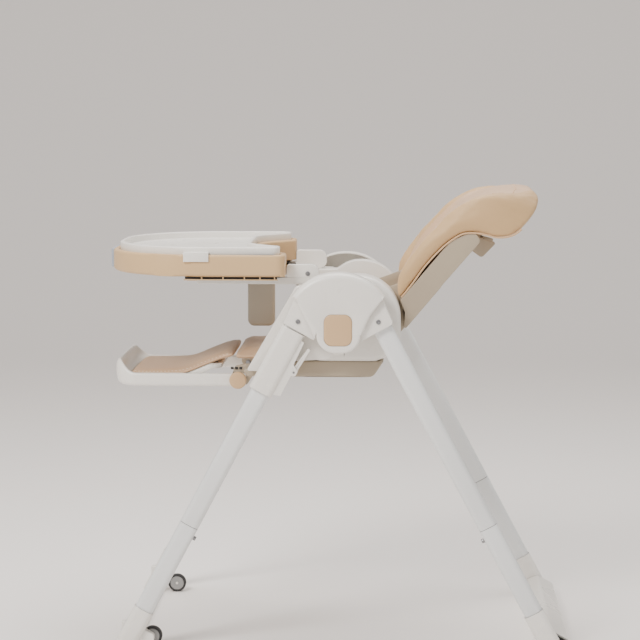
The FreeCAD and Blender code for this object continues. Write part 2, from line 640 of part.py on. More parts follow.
pin = new_body("back_pin")
add_pad(pin, "back_pin_bar", "YZ_Plane", back_core - 6, bucket_half, [("circle", back_pivot_y, back_pivot_z, 5)])
group(pin, "back_pins")

back = new_body("back_cushion")
profile = [(Size(-12.3), Size(-36), 3), (Size(-51), Size(4), 12), (Size(-60), Size(84), 100),
           (Size(-48), Size(205), 60), (Size(-8), Size(272), 60), (Size(52), Size(330), 26), (Size(104), Size(296), 26),
           (Size(86), Size(214), 18), (Size(58), Size(185), 30), (Size(16), Size(184), 20), (Size(-12.3), Size(140), 30)]
add_pad(back, "back_outside", "YZ_Plane", -back_half, back_half, [profile])
add_pad(back, "back_bucket", "YZ_Plane", -back_half + 34, back_half - 34,
        [[(Size(-80), Size(-60)), (Size(-30), Size(-60)), (Size(-30), Size(190), 60), (Size(40), Size(250)),
          (Size(40), Size(300)), (Size(-80), Size(300))]], cut=True)
add_pad(back, "back_panel", "YZ_Plane", -back_core, back_core,
        [[(Size(-30), Size(-36), 6), (Size(-12.3), Size(-36)), (Size(-12.3), Size(130)), (Size(-30), Size(130))]])
for end in (-1, 1):
    low = back_core + 1.5 if end > 0 else -back_core - 13.5
    add_pad(back, "ear_slot_%d" % (end + 1), "YZ_Plane", low, low + 12,
            [[(Size(-90), Size(-60)), (Size(40), Size(-60)), (Size(40), Size(26)), (Size(-90), Size(26))]], cut=True)
back_frame(back)
keep(back, "back_cushion")

strap = new_body("shoulder_strap")
add_pad(strap, "strap_web", "YZ_Plane", 48, 76,
        [[(Size(-32.8), Size(-20)), (Size(-30.3), Size(-20)), (Size(-30.3), Size(120)), (Size(-32.8), Size(120))]])
back_frame(strap)
group(strap, "shoulder_straps")


# ---------------------------------------------------------------- harness on the seat
lap = cross_box("lap_web", 24, inside_half - 6, hub_y - 28, hub_y, hub_z - 65.8, hub_z - 63.2)
group(lap, "lap_straps")
buckle = new_body("harness_buckle")
add_pad(buckle, "buckle_shell", "XY_Plane", hub_z - 65.8, hub_z - 50,
        [box_corners(Size(-22), hub_y - 46, Size(22), hub_y + 6, 9)])
keep(buckle, "harness_buckle")


# ---------------------------------------------------------------- leg rest
frame = new_body("leg_rest_frame")
inner_arm = legrest_half - legrest_arm
front = legrest_y - legrest_length
add_pad(frame, "rest_outside", "XY_Plane", legrest_z - 15, legrest_z + 13,
        [[(-legrest_half, front, 50), (legrest_half, front, 50), (legrest_half, legrest_y + 17, 12),
          (-legrest_half, legrest_y + 17, 12)]])
add_pad(frame, "rest_inside", "XY_Plane", legrest_z - 16, legrest_z + 14,
        [[(-inner_arm, front + 26, 36), (inner_arm, front + 26, 36), (inner_arm, legrest_y + 18),
          (-inner_arm, legrest_y + 18)]], cut=True)
add_pad(frame, "toe_lip", "YZ_Plane", -legrest_half + 50, legrest_half - 50,
        [[(front - 16, legrest_z + 2, 6), (front - 10, legrest_z - 15, 10), (front + 20, legrest_z - 15),
          (front + 20, legrest_z - 6), (front + 4, legrest_z + 4, 12), (front + 1, legrest_z + 46, 6),
          (front - 14, legrest_z + 50, 7)]])
boss = legrest_half + 6.5
add_pad(frame, "rest_bosses", "YZ_Plane", -boss, boss, [("circle", legrest_y, legrest_z, 13)])
add_pad(frame, "rest_bosses_inside", "YZ_Plane", -inner_arm, inner_arm, [("circle", legrest_y, legrest_z, 13.5)],
        cut=True)
add_pad(frame, "rest_bores", "YZ_Plane", -legrest_half - 1, legrest_half + 1,
        [("circle", legrest_y, legrest_z, Size(6))], cut=True)
keep(frame, "leg_rest_frame")

board = new_body("calf_board")
add_pad(board, "board_plate", "YZ_Plane", -inner_arm + 0.2, inner_arm - 0.2,
        [[(front + 27, legrest_z - 6, 3), (front + 27, legrest_z + 2, 3), (legrest_y - 120, legrest_z + 5, 40),
          (legrest_y - 62, legrest_z + 30, 20), (legrest_y - 36, legrest_z + 30, 3),
          (legrest_y - 36, legrest_z + 22, 3), (legrest_y - 58, legrest_z + 21, 20),
          (legrest_y - 110, legrest_z - 6, 40)]])
add_pad(board, "board_corners", "XY_Plane", legrest_z - 20, legrest_z + 40,
        [box_corners(-legrest_half, front, legrest_half, legrest_y),
         box_corners(-inner_arm + 0.1, front + 26.1, inner_arm - 0.1, legrest_y - 30, 37)], cut=True)
keep(board, "calf_board")

flap = new_body("leg_rest_pad")
add_pad(flap, "flap_pad", "YZ_Plane", Size(-126), Size(126),
        [[(front + 28, legrest_z + 2.4, 4), (front + 28, legrest_z + 14, 5), (legrest_y - 120, legrest_z + 18, 60),
          (legrest_y - 62, legrest_z + 43, 50), (legrest_y - 12, legrest_z + 57, 5),
          (legrest_y - 12, legrest_z + 38, 4), (legrest_y - 62, legrest_z + 30.4, 20),
          (legrest_y - 120, legrest_z + 5.4, 40)]])
add_pad(flap, "flap_corners", "XY_Plane", legrest_z - 20, legrest_z + 80,
        [box_corners(-legrest_half, front, legrest_half, legrest_y + 20),
         box_corners(Size(-126), front + 28, Size(126), legrest_y - 12, 26)], cut=True)
keep(flap, "leg_rest_pad")

cap = new_body("leg_rest_cap")
add_pad(cap, "cap_head", "YZ_Plane", legrest_half + 4, legrest_half + 12.5, [("circle", legrest_y, legrest_z, 18)])
add_pad(cap, "cap_cup", "YZ_Plane", legrest_half + 3, legrest_half + 10.4,
        [("circle", legrest_y, legrest_z, 13 + gap)], cut=True)
pair(cap, "leg_rest_cap")
hinge = new_body("leg_rest_pin")
add_pad(hinge, "rest_pin_bar", "YZ_Plane", legrest_half - legrest_arm - 16, legrest_half,
        [("circle", legrest_y, legrest_z, 6)])
group(hinge, "leg_rest_pins")


# ---------------------------------------------------------------- tray
def tray_plan(grow, front_shift, belly):
    """Plan of the tray: rounded front, two wings and a belly cut-out between them."""
    half = tray_half + grow
    front_edge = tray_front - grow + front_shift
    back_edge = tray_back + grow
    tip = 20 + grow * 0.35
    return [(-half, front_edge, tray_round), (half, front_edge, tray_round), (half, back_edge, tip),
            (Size(180) - grow, back_edge, 12), (Size(104) - grow, belly + grow, 90),
            (-104 + grow, belly + grow, 90), (-180 + grow, back_edge, 12), (-half, back_edge, tip)]


belly_y = tray_back - 68
pocket_front = tray_front + tray_round - 12          # the side pockets start behind the round corners
base = new_body("tray_base")
add_pad(base, "base_body", "XY_Plane", tray_bottom, tray_rim, [tray_plan(Size(0), 0, belly_y)])
add_pad(base, "base_recess", "XY_Plane", tray_rim - 3, tray_rim + 1, [tray_plan(-tray_lip, 0, belly_y)], cut=True)
add_pad(base, "base_under", "XY_Plane", tray_bottom - 1, tray_rim - 7,
        [box_corners(Size(-157), tray_front + 14, Size(157), belly_y - 24, 120),
         box_corners(Size(192), pocket_front, tray_half - 5, tray_back - 10, 12),
         box_corners(5 - tray_half, pocket_front, Size(-192), tray_back - 10, 12)], cut=True)
for end in (-1, 1):
    low, high = (161, 178.6) if end > 0 else (-178.6, -161)
    foot_low, foot_high = (161, 186) if end > 0 else (-186, -161)
    add_pad(base, "rail_web_%d" % (end + 1), "YZ_Plane", low, high,
            [box_corners(hub_y - 320, arm_low + 4.6, tray_back - 50, tray_bottom + 1)])
    add_pad(base, "rail_foot_%d" % (end + 1), "YZ_Plane", foot_low, foot_high,
            [box_corners(hub_y - 290, arm_low + 4.6, tray_back - 54, arm_low + 10.4)])
keep(base, "tray_base")

top = new_body("tray_top")
add_pad(top, "top_body", "XY_Plane", tray_rim - 2.6, tray_rim + 15, [tray_plan(-tray_lip - 0.6, 0, belly_y)])
add_pad(top, "top_dish", "XY_Plane", tray_rim + 1, tray_rim + 16, [tray_plan(-tray_lip - 9, 0, belly_y)], cut=True)
clip_y = hub_y - 293
for end in (-1, 1):
    low, high = (tray_half - tray_lip - 4, tray_half + 3.4) if end > 0 else (-tray_half - 3.4, -tray_half + tray_lip + 4)
    side_low, side_high = (tray_half + 0.4, tray_half + 3.4) if end > 0 else (-tray_half - 3.4, -tray_half - 0.4)
    add_pad(top, "clip_bridge_%d" % (end + 1), "YZ_Plane", low, high,
            [box_corners(clip_y - 26, tray_rim + 2.4, clip_y + 26, tray_rim + 5.4)])
    add_pad(top, "clip_tab_%d" % (end + 1), "YZ_Plane", side_low, side_high,
            [box_corners(clip_y - 26, tray_rim - 14, clip_y + 26, tray_rim + 5.4)])
keep(top, "tray_top")

release = new_body("tray_release")
add_pad(release, "release_plate", "YZ_Plane", -50, 50,
        [box_corners(tray_front - 7, tray_bottom + 3, tray_front - 0.4, tray_rim - 2, 2.5)])
keep(release, "tray_release")

post = new_body("crotch_post")
add_pad(post, "post_body", "YZ_Plane", -17, 17,
        [[(hub_y - 205, tray_bottom), (hub_y - 205, hub_z - 24, 14), (hub_y - 147, hub_z - 24, 14),
          (hub_y - 147, tray_bottom)]])
keep(post, "crotch_post")


# ---------------------------------------------------------------- checks and export
doc.recompute()
for thing in doc.Objects:
    bad = [state for state in thing.State if state in ("Invalid", "Error")]
    if bad:
        raise RuntimeError("%s is %s" % (thing.Name, bad))
os.makedirs("parts", exist_ok=True)
for piece in nodes:
    if piece.Shape.isNull() or not piece.Shape.isValid():
        raise RuntimeError("%s has no sound shape" % piece.Label)
for piece in nodes:
    piece.Shape.exportStep("parts/%s.step" % piece.Label)
print("%d nodes" % len(nodes))
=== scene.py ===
import math

import bmesh
import bpy
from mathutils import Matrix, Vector
from mathutils.bvhtree import BVHTree


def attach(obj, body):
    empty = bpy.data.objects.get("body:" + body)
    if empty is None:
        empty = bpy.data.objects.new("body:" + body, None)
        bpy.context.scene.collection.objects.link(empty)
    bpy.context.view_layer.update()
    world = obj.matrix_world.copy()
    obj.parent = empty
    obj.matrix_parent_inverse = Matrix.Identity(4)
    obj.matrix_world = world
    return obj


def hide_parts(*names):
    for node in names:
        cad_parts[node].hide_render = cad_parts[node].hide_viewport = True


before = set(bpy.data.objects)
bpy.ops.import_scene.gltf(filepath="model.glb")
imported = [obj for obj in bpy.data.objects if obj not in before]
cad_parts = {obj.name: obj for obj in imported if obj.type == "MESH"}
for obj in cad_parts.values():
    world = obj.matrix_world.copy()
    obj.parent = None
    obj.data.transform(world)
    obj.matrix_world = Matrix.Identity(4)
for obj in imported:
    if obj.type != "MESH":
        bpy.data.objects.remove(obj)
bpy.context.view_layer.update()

# ---------------------------------------------------------------- camera and room
# The chair is seen from its left side, a little above the seat, with a long lens.
# It stands on a plain pale floor that turns up into a wall, under broad soft lamps.
SIDES = (("left", 1), ("right", -1))

camera_data = bpy.data.cameras.new("camera")
camera_data.lens = 118.125
camera_data.sensor_width = 36
camera = bpy.data.objects.new("camera", camera_data)
camera.location = (4.5251, 0.1604, 1.1743)
looking = Vector((-0.99273, -0.04312, -0.11237))
camera.rotation_euler = looking.to_track_quat("-Z", "Y").to_euler()
bpy.context.scene.collection.objects.link(camera)
bpy.context.scene.camera = camera


def aim_lamp(name, place, target, size, watts, colour):
    """Square soft lamp at a place, turned to a target."""
    lamp = bpy.data.lights.new(name, "AREA")
    lamp.size = size
    lamp.energy = watts
    lamp.color = colour
    holder = bpy.data.objects.new(name, lamp)
    holder.location = place
    holder.rotation_euler = (Vector(target) - Vector(place)).to_track_quat("-Z", "Y").to_euler()
    bpy.context.scene.collection.objects.link(holder)


aim_lamp("key_lamp", (2.3, -1.7, 2.9), (0, 0, 0.6), 1.2, 125, (1.0, 0.965, 0.925))
aim_lamp("fill_lamp", (2.6, 2.4, 1.3), (0, 0, 0.5), 2.2, 9, (0.96, 0.98, 1.0))
aim_lamp("top_lamp", (-0.6, 0.2, 3.3), (0, 0, 0.5), 2.0, 84, (1.0, 0.985, 0.965))

world = bpy.data.worlds.new("pale_room")
world.use_nodes = True
world.node_tree.nodes["Background"].inputs["Color"].default_value = (0.90, 0.875, 0.855, 1)
world.node_tree.nodes["Background"].inputs["Strength"].default_value = 0.80
bpy.context.scene.world = world


def deselect_all():
    """Nothing selected and nothing in edit mode."""
    if bpy.context.object and bpy.context.object.mode != "OBJECT":
        bpy.ops.object.mode_set(mode="OBJECT")
    bpy.ops.object.select_all(action="DESELECT")


def open_edit(piece, mode="EDGE"):
    """Puts one piece in edit mode with nothing picked."""
    deselect_all()
    bpy.context.view_layer.objects.active = piece
    piece.select_set(True)
    bpy.ops.object.mode_set(mode="EDIT")
    bpy.ops.mesh.select_mode(type=mode)
    bpy.ops.mesh.select_all(action="DESELECT")


deselect_all()
bpy.ops.mesh.primitive_plane_add(size=22, location=(4.2, 0, 0))
floor = bpy.context.object
floor.name = "floor"
open_edit(floor)
mesh = bmesh.from_edit_mesh(floor.data)
for edge in mesh.edges:
    edge.select = all(vertex.co.x < 0 for vertex in edge.verts) and abs(edge.verts[0].co.x) > 6
bmesh.update_edit_mesh(floor.data)
bpy.ops.mesh.extrude_edges_move(TRANSFORM_OT_translate={"value": (0, 0, 9)})
bpy.ops.object.mode_set(mode="OBJECT")
bend = floor.modifiers.new("cove", "BEVEL")
bend.width = 2.5
bend.segments = 24
bpy.ops.object.shade_smooth()
floor_finish = bpy.data.materials.new("pale_floor")
floor_finish.use_nodes = True
floor_shader = floor_finish.node_tree.nodes["Principled BSDF"]
floor_shader.inputs["Base Color"].default_value = (0.93, 0.885, 0.85, 1)
floor_shader.inputs["Roughness"].default_value = 0.85
floor.data.materials.append(floor_finish)


# ---------------------------------------------------------------- powder-coated tubes
# Flat-oval steel tubes for the legs, in two lengths that plug into each other, and the
# front cross bar. White powder coat with a faint orange-peel skin.
def new_group(name, numbers, colours):
    """Node group with number and colour inputs, and a colour, roughness and normal out."""
    group = bpy.data.node_groups.new(name, "ShaderNodeTree")
    for label in colours:
        group.interface.new_socket(label, in_out="INPUT", socket_type="NodeSocketColor")
    for label in numbers:
        group.interface.new_socket(label, in_out="INPUT", socket_type="NodeSocketFloat")
    group.interface.new_socket("Colour", in_out="OUTPUT", socket_type="NodeSocketColor")
    group.interface.new_socket("Roughness", in_out="OUTPUT", socket_type="NodeSocketFloat")
    group.interface.new_socket("Normal", in_out="OUTPUT", socket_type="NodeSocketVector")
    return group, group.nodes.new("NodeGroupInput"), group.nodes.new("NodeGroupOutput")


def noise(tree, scale, detail, place):
    """Noise in the object's own coordinates."""
    node = tree.nodes.new("ShaderNodeTexNoise")
    node.inputs["Detail"].default_value = detail
    tree.links.new(place.outputs["Object"], node.inputs["Vector"])
    if isinstance(scale, (int, float)):
        node.inputs["Scale"].default_value = scale
    else:
        tree.links.new(scale, node.inputs["Scale"])
    return node


def remap(tree, source, low, high, to_low, to_high):
    """Value moved from one range to another; the new limits may be sockets."""
    node = tree.nodes.new("ShaderNodeMapRange")
    tree.links.new(source, node.inputs["Value"])
    for label, value in (("From Min", low), ("From Max", high), ("To Min", to_low), ("To Max", to_high)):
        if isinstance(value, (int, float)):
            node.inputs[label].default_value = value
        else:
            tree.links.new(value, node.inputs[label])
    return node.outputs["Result"]


def mix_colours(tree, factor, first, second):
    """Blend of two colour sockets."""
    node = tree.nodes.new("ShaderNodeMix")
    node.data_type = "RGBA"
    tree.links.new(factor, node.inputs[0])
    tree.links.new(first, node.inputs[6])
    tree.links.new(second, node.inputs[7])
    return node.outputs[2]


moulded_group, taken, given = new_group(
    "moulded skin", ("Mottle", "Grain per metre", "Grain depth", "Smooth", "Dull"), ("Main", "Handled"))
where = moulded_group.nodes.new("ShaderNodeTexCoord")
patches = noise(moulded_group, 9.0, 4.0, where)
grain = noise(moulded_group, taken.outputs["Grain per metre"], 2.0, where)
amount = remap(moulded_group, patches.outputs["Fac"], 0.35, 0.7, 0.0, taken.outputs["Mottle"])
moulded_group.links.new(mix_colours(moulded_group, amount, taken.outputs["Main"], taken.outputs["Handled"]),
                        given.inputs["Colour"])
moulded_group.links.new(remap(moulded_group, patches.outputs["Fac"], 0.3, 0.7, taken.outputs["Smooth"],
                              taken.outputs["Dull"]), given.inputs["Roughness"])
bump = moulded_group.nodes.new("ShaderNodeBump")
bump.inputs["Distance"].default_value = 0.0004
moulded_group.links.new(taken.outputs["Grain depth"], bump.inputs["Strength"])
moulded_group.links.new(grain.outputs["Fac"], bump.inputs["Height"])
moulded_group.links.new(bump.outputs["Normal"], given.inputs["Normal"])


def finish_from(name, group, colours, numbers, coat=0.0, metal=0.0):
    """Material that takes its colour, roughness and normal from a node group."""
    finish = bpy.data.materials.new(name)
    finish.use_nodes = True
    tree = finish.node_tree
    shader = tree.nodes["Principled BSDF"]
    shader.inputs["Coat Weight"].default_value = coat
    shader.inputs["Coat Roughness"].default_value = 0.25
    shader.inputs["Metallic"].default_value = metal
    skin = tree.nodes.new("ShaderNodeGroup")
    skin.node_tree = group
    for label, colour in colours.items():
        skin.inputs[label].default_value = tuple(colour) + (1,)
    for label, value in numbers.items():
        skin.inputs[label].default_value = value
    tree.links.new(skin.outputs["Colour"], shader.inputs["Base Color"])
    tree.links.new(skin.outputs["Roughness"], shader.inputs["Roughness"])
    tree.links.new(skin.outputs["Normal"], shader.inputs["Normal"])
    return finish


def moulded(name, main, handled, mottle=0.5, grain_scale=900, depth=0.12, smooth=0.32, dull=0.45, coat=0.0,
            metal=0.0):
    """Moulded or painted finish with a fine skin."""
    return finish_from(name, moulded_group, {"Main": main, "Handled": handled},
                       {"Mottle": mottle, "Grain per metre": grain_scale, "Grain depth": depth,
                        "Smooth": smooth, "Dull": dull}, coat, metal)


def dress(node, finish, edge=0.0008, steps=3):
    """CAD solid kept as it is, with its material and a small rounding of its sharp edges."""
    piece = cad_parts[node]
    for holder in piece.material_slots:
        holder.material = finish
    if not piece.material_slots:
        piece.data.materials.append(finish)
    weld = piece.modifiers.new("weld", "WELD")
    weld.merge_threshold = 0.00001
    plain = piece.modifiers.new("plain_faces", "DECIMATE")
    plain.decimate_type = "DISSOLVE"
    plain.angle_limit = math.radians(0.6)
    rounding = piece.modifiers.new("edges", "BEVEL")
    rounding.width = edge
    rounding.segments = steps
    rounding.limit_method = "ANGLE"
    rounding.angle_limit = math.radians(31)
    rounding.use_clamp_overlap = False
    rounding.harden_normals = True
    for face in piece.data.polygons:
        face.use_smooth = True


powder_white = moulded("powder_white", (0.76, 0.77, 0.765), (0.72, 0.725, 0.72), 0.5, 1400, 0.10, 0.28, 0.38,
                       0.25)
for side, _ in SIDES:
    for part in ("front_leg_upper", "front_leg_lower", "rear_leg_upper", "rear_leg_lower"):
        dress("%s_%s" % (part, side), powder_white, 0.0005)
dress("front_cross_bar", powder_white, 0.0006)


# ---------------------------------------------------------------- white mouldings of the frame
# Hub brackets, feet, sleeves, squeeze levers and the rear base bar: injection-moulded
# white plastic with softly rounded edges, screwed or clipped to the tubes.
gloss_white = moulded("gloss_white", (0.82, 0.79, 0.735), (0.785, 0.755, 0.70), 0.5, 1100, 0.07, 0.24, 0.36,
                      0.2)
for side, _ in SIDES:
    dress("front_bracket_" + side, gloss_white, 0.0009)
    dress("rear_bracket_" + side, gloss_white, 0.0009)
    dress("front_foot_" + side, gloss_white, 0.0014)
    dress("rear_foot_" + side, gloss_white, 0.0014)
    dress("seat_bracket_" + side, gloss_white, 0.0012)
    dress("height_lever_" + side, gloss_white, 0.0010)
dress("rear_cross_bar", gloss_white, 0.0030)


# ---------------------------------------------------------------- hub covers
# The big domed caps over the folding joint, one shell each side, with a broad rounded
# rim, a round boss and a well for the fold button. Clipped over the brackets.
def reshaped(node, name, finish, rounds, small=0.0006):
    """Copy of a CAD solid with chosen edges rounded. rounds: (test of an edge's middle, width, steps)."""
    piece = bpy.data.objects.new(name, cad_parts[node].data.copy())
    bpy.context.scene.collection.objects.link(piece)
    piece.data.materials.clear()
    piece.data.materials.append(finish)
    open_edit(piece, "VERT")
    bpy.ops.mesh.select_all(action="SELECT")
    bpy.ops.mesh.remove_doubles(threshold=0.00001)
    bpy.ops.mesh.dissolve_limited(angle_limit=math.radians(0.6))
    for test, width, steps in rounds:
        bpy.ops.mesh.select_mode(type="EDGE")
        bpy.ops.mesh.select_all(action="DESELECT")
        mesh = bmesh.from_edit_mesh(piece.data)
        for edge in mesh.edges:
            sharp = edge.is_manifold and edge.calc_face_angle(0) > math.radians(30)
            edge.select = bool(sharp and test((edge.verts[0].co + edge.verts[1].co) / 2))
        bmesh.update_edit_mesh(piece.data)
        bpy.ops.mesh.bevel(offset=width, segments=steps, affect="EDGES", clamp_overlap=False)
    bpy.ops.object.mode_set(mode="OBJECT")
    if small:
        rounding = piece.modifiers.new("edges", "BEVEL")
        rounding.width = small
        rounding.segments = 2
        rounding.limit_method = "ANGLE"
        rounding.angle_limit = math.radians(38)
        rounding.use_clamp_overlap = False
        bpy.ops.object.modifier_apply(modifier="edges")
    bpy.ops.object.shade_smooth_by_angle(angle=math.radians(32))
    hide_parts(node)
    return piece


hub_y, hub_z = 0.013, 0.674
face_x = 0.2935
shoulder_z = hub_z + 0.052
boss_edge = 0.0455
for side, way in SIDES:
    hub_cover = reshaped(
        "hub_cover_" + side, "hub_shell_" + side, gloss_white,
        [(lambda p: abs(p.x) > face_x and p.z > shoulder_z, 0.013, 6),
         (lambda p: abs(p.x) > face_x and math.hypot(p.y - hub_y, p.z - hub_z) > boss_edge
          and p.z < shoulder_z, 0.0055, 4)])
    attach(hub_cover, "front_frame")


# ---------------------------------------------------------------- fold buttons
# The beige press buttons in the hub bosses: rounded squares with a soft pillowed face.
button_beige = moulded("button_beige", (0.60, 0.395, 0.215), (0.56, 0.36, 0.19), 0.4, 1500, 0.08, 0.34, 0.48)
for side, _ in SIDES:
    button = reshaped("fold_button_" + side, "press_button_" + side, button_beige,
                      [(lambda p: abs(p.x) > 0.2955, 0.0026, 4)], 0.0)
    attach(button, "fold_button_" + side)


# ---------------------------------------------------------------- wheels
# Small front wheels: a black rubber tyre on a grey moulded disc.
tyre_black = moulded("tyre_black", (0.022, 0.022, 0.023), (0.045, 0.043, 0.042), 0.7, 700, 0.25, 0.6, 0.8)
disc_grey = moulded("disc_grey", (0.28, 0.275, 0.27), (0.34, 0.33, 0.32), 0.5, 900, 0.12, 0.4, 0.55)
for side, _ in SIDES:
    dress("front_tyre_" + side, tyre_black, 0.0020)
    dress("front_wheel_" + side, disc_grey, 0.0009)
dress("floor_pads", disc_grey, 0.0006)


# ---------------------------------------------------------------- screws and pins
# Zinc-plated screw heads, spring pins and hinge pins.
zinc = moulded("zinc", (0.30, 0.30, 0.31), (0.22, 0.22, 0.225), 0.6, 2500, 0.15, 0.28, 0.45, 0.0, 1.0)
for part in ("front_snap_pins", "rear_snap_pins", "front_bracket_screws", "rear_bracket_screws",
             "pivot_bolts", "side_fasteners", "back_pins", "leg_rest_pins"):
    dress(part, zinc, 0.0006)


# ---------------------------------------------------------------- seat shell and armrests
# The moulded seat tub with its side walls, and the hollow rounded armrests beside it.
shell_grey = moulded("shell_grey", (0.40, 0.33, 0.24), (0.37, 0.30, 0.22), 0.5, 1300, 0.16, 0.4, 0.55)
seat_tub = reshaped("seat_shell", "seat_tub", shell_grey,
                    [(lambda p: abs(p.x) > 0.1895, 0.004, 3)], 0.0012)
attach(seat_tub, "seat")
for side, _ in SIDES:
    armrest = reshaped("armrest_" + side, "arm_pad_" + side, gloss_white,
                       [(lambda p: abs(p.x) > 0.2145 and abs(p.x) < 0.2152, 0.010, 5)], 0.0006)
    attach(armrest, "seat")
    dress("tray_arm_" + side, gloss_white, 0.0016)


# ---------------------------------------------------------------- tray
# A beige lower tray with a belly cut-out, a lift-off white top with a shallow dish and two
# side clips, a grey-blue release plate at the front and a taupe post between the legs.
tray_beige = moulded("tray_beige", (0.60, 0.40, 0.205), (0.56, 0.365, 0.185), 0.4, 1500, 0.10, 0.36, 0.5)
release_blue = moulded("release_blue", (0.34, 0.385, 0.45), (0.30, 0.34, 0.40), 0.4, 1500, 0.08, 0.34, 0.46)
post_taupe = moulded("post_taupe", (0.53, 0.475, 0.385), (0.49, 0.44, 0.35), 0.5, 1200, 0.12, 0.4, 0.55)
tray_bottom_z, tray_rim_z, lid_rim_z = 0.778, 0.823, 0.838
tray = reshaped("tray_base", "tray_body", tray_beige,
                [(lambda p: abs(p.z - tray_bottom_z) < 0.0005 and (abs(p.x) > 0.245 or p.y < -0.365), 0.008, 5),
                 (lambda p: abs(p.z - tray_rim_z) < 0.0005
                  and (abs(p.x) > 0.246 or p.y < -0.375 or p.y > -0.17), 0.005, 4)],
                0.0010)
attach(tray, "tray")
tray_lid = reshaped("tray_top", "tray_lid", gloss_white,
                    [(lambda p: abs(p.z - lid_rim_z) < 0.0004, 0.0028, 3)], 0.0008)
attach(tray_lid, "tray_top")
dress("tray_release", release_blue, 0.0016)
post = reshaped("crotch_post", "crotch_bar", post_taupe,
                [(lambda p: p.z < 0.775, 0.007, 5)], 0.0)
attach(post, "tray")


# ---------------------------------------------------------------- leg rest frame
# A white hoop with a raised toe lip, hinged under the seat, that carries the calf board.
# Round beige caps close the two hinges.
dress("calf_board", gloss_white, 0.0012)


def lofted(name, rings, finish):
    """Closed skin through rings of equal point count, capped at both ends."""
    mesh = bmesh.new()
    rows = [[mesh.verts.new(point) for point in ring] for ring in rings]
    count = len(rows[0])
    for low, high in zip(rows, rows[1:]):
        for index in range(count):
            after = (index + 1) % count
            mesh.faces.new((low[index], low[after], high[after], high[index]))
    mesh.faces.new(list(reversed(rows[0])))
    mesh.faces.new(rows[-1])
    bmesh.ops.recalc_face_normals(mesh, faces=mesh.faces)
    data = bpy.data.meshes.new(name)
    mesh.to_mesh(data)
    mesh.free()
    data.materials.append(finish)
    piece = bpy.data.objects.new(name, data)
    bpy.context.scene.collection.objects.link(piece)
    return piece


arm_section = [(-13, 541), (-10, 537.3), (-4, 537.3), (-0.5, 541), (0, 548), (0, 555), (0, 560),
               (-0.6, 562.6), (-2.6, 564.8), (-5, 565), (-7, 565), (-9, 565), (-10.5, 564.8),
               (-12.2, 563.2), (-13, 560)]
lip_section = [(-25, 541), (-22, 538), (-9, 538), (-3, 541), (0, 548), (2, 559), (2.6, 572), (1.2, 583),
               (-2, 590.5), (-6.5, 592.6), (-9.6, 588), (-9.8, 579), (-11.6, 569), (-16.5, 561.5),
               (-27, 558.5)]


def hoop_ring(x, y, out_x, out_y, lift):
    """Section of the hoop at one place: a plain arm at lift 0, the toe lip at lift 1."""
    ring = []
    for (arm_out, arm_z), (lip_out, lip_z) in zip(arm_section, lip_section):
        out = arm_out + (lip_out - arm_out) * lift
        ring.append(Vector((x + out_x * out, y + out_y * out, arm_z + (lip_z - arm_z) * lift)) / 1000)
    return ring


half_rings = []
for y in (-186, -188, -230, -300, -360, -400):
    half_rings.append(hoop_ring(155, y, 1, 0, 0))
for step in range(13):
    turn = math.radians(90 * step / 12)
    rise = min(max((step - 1) / 9, 0), 1)
    half_rings.append(hoop_ring(105 + 50 * math.cos(turn), -414 - 50 * math.sin(turn), math.cos(turn),
                                -math.sin(turn), rise * rise * (3 - 2 * rise)))
half_rings.append(hoop_ring(60, -464, 0, -1, 1))
half_rings.append(hoop_ring(20, -464, 0, -1, 1))
other_half = [[Vector((-p.x, p.y, p.z)) for p in ring] for ring in reversed(half_rings)]
rest_hoop = lofted("leg_rest_hoop", half_rings + other_half, gloss_white)
deselect_all()
bpy.context.view_layer.objects.active = rest_hoop
rest_hoop.select_set(True)
finer = rest_hoop.modifiers.new("finer", "SUBSURF")
finer.levels = 2
finer.render_levels = 2
bpy.ops.object.modifier_apply(modifier="finer")
bpy.ops.object.shade_smooth()
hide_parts("leg_rest_frame")
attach(rest_hoop, "leg_rest")
for side, _ in SIDES:
    cap = reshaped("leg_rest_cap_" + side, "hinge_cap_" + side, button_beige,
                   [(lambda p: abs(p.x) > 0.1670, 0.003, 4)], 0.0)
    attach(cap, "leg_rest_cap_" + side)


# ---------------------------------------------------------------- painted shade in slots and gaps
# Black pieces as painted shade: inside the ratchet slots beside the leg rest hinge, behind the
# notched beige rail under each tray wing, and in the thin gap where a lower leg tube meets the upper one.
# Black finish for the painted shade in slots, hollows and gaps.
gap_shade_black = moulded("gap_shade_black", (0.035, 0.032, 0.03), (0.05, 0.046, 0.042), 0.5, 900, 0.1, 0.6, 0.8)


def small_block(low, high, rounding=0.0004):
    """Rounded block between two corners, in mm."""
    deselect_all()
    size = [(b - a) / 1000 for a, b in zip(low, high)]
    bpy.ops.mesh.primitive_cube_add(size=1, location=[(a + b) / 2000 for a, b in zip(low, high)])
    block = bpy.context.object
    block.scale = size
    bpy.ops.object.transform_apply(location=True, rotation=True, scale=True)
    soft = block.modifiers.new("soft", "BEVEL")
    soft.width = rounding
    soft.segments = 2
    bpy.ops.object.modifier_apply(modifier="soft")
    return block


def joined(name, blocks, finish):
    """Several blocks as one piece with one finish."""
    deselect_all()
    for block in blocks:
        block.select_set(True)
    bpy.context.view_layer.objects.active = blocks[0]
    bpy.ops.object.join()
    piece = bpy.context.object
    piece.name = name
    piece.data.materials.clear()
    piece.data.materials.append(finish)
    bpy.ops.object.shade_smooth_by_angle(angle=math.radians(40))
    return piece


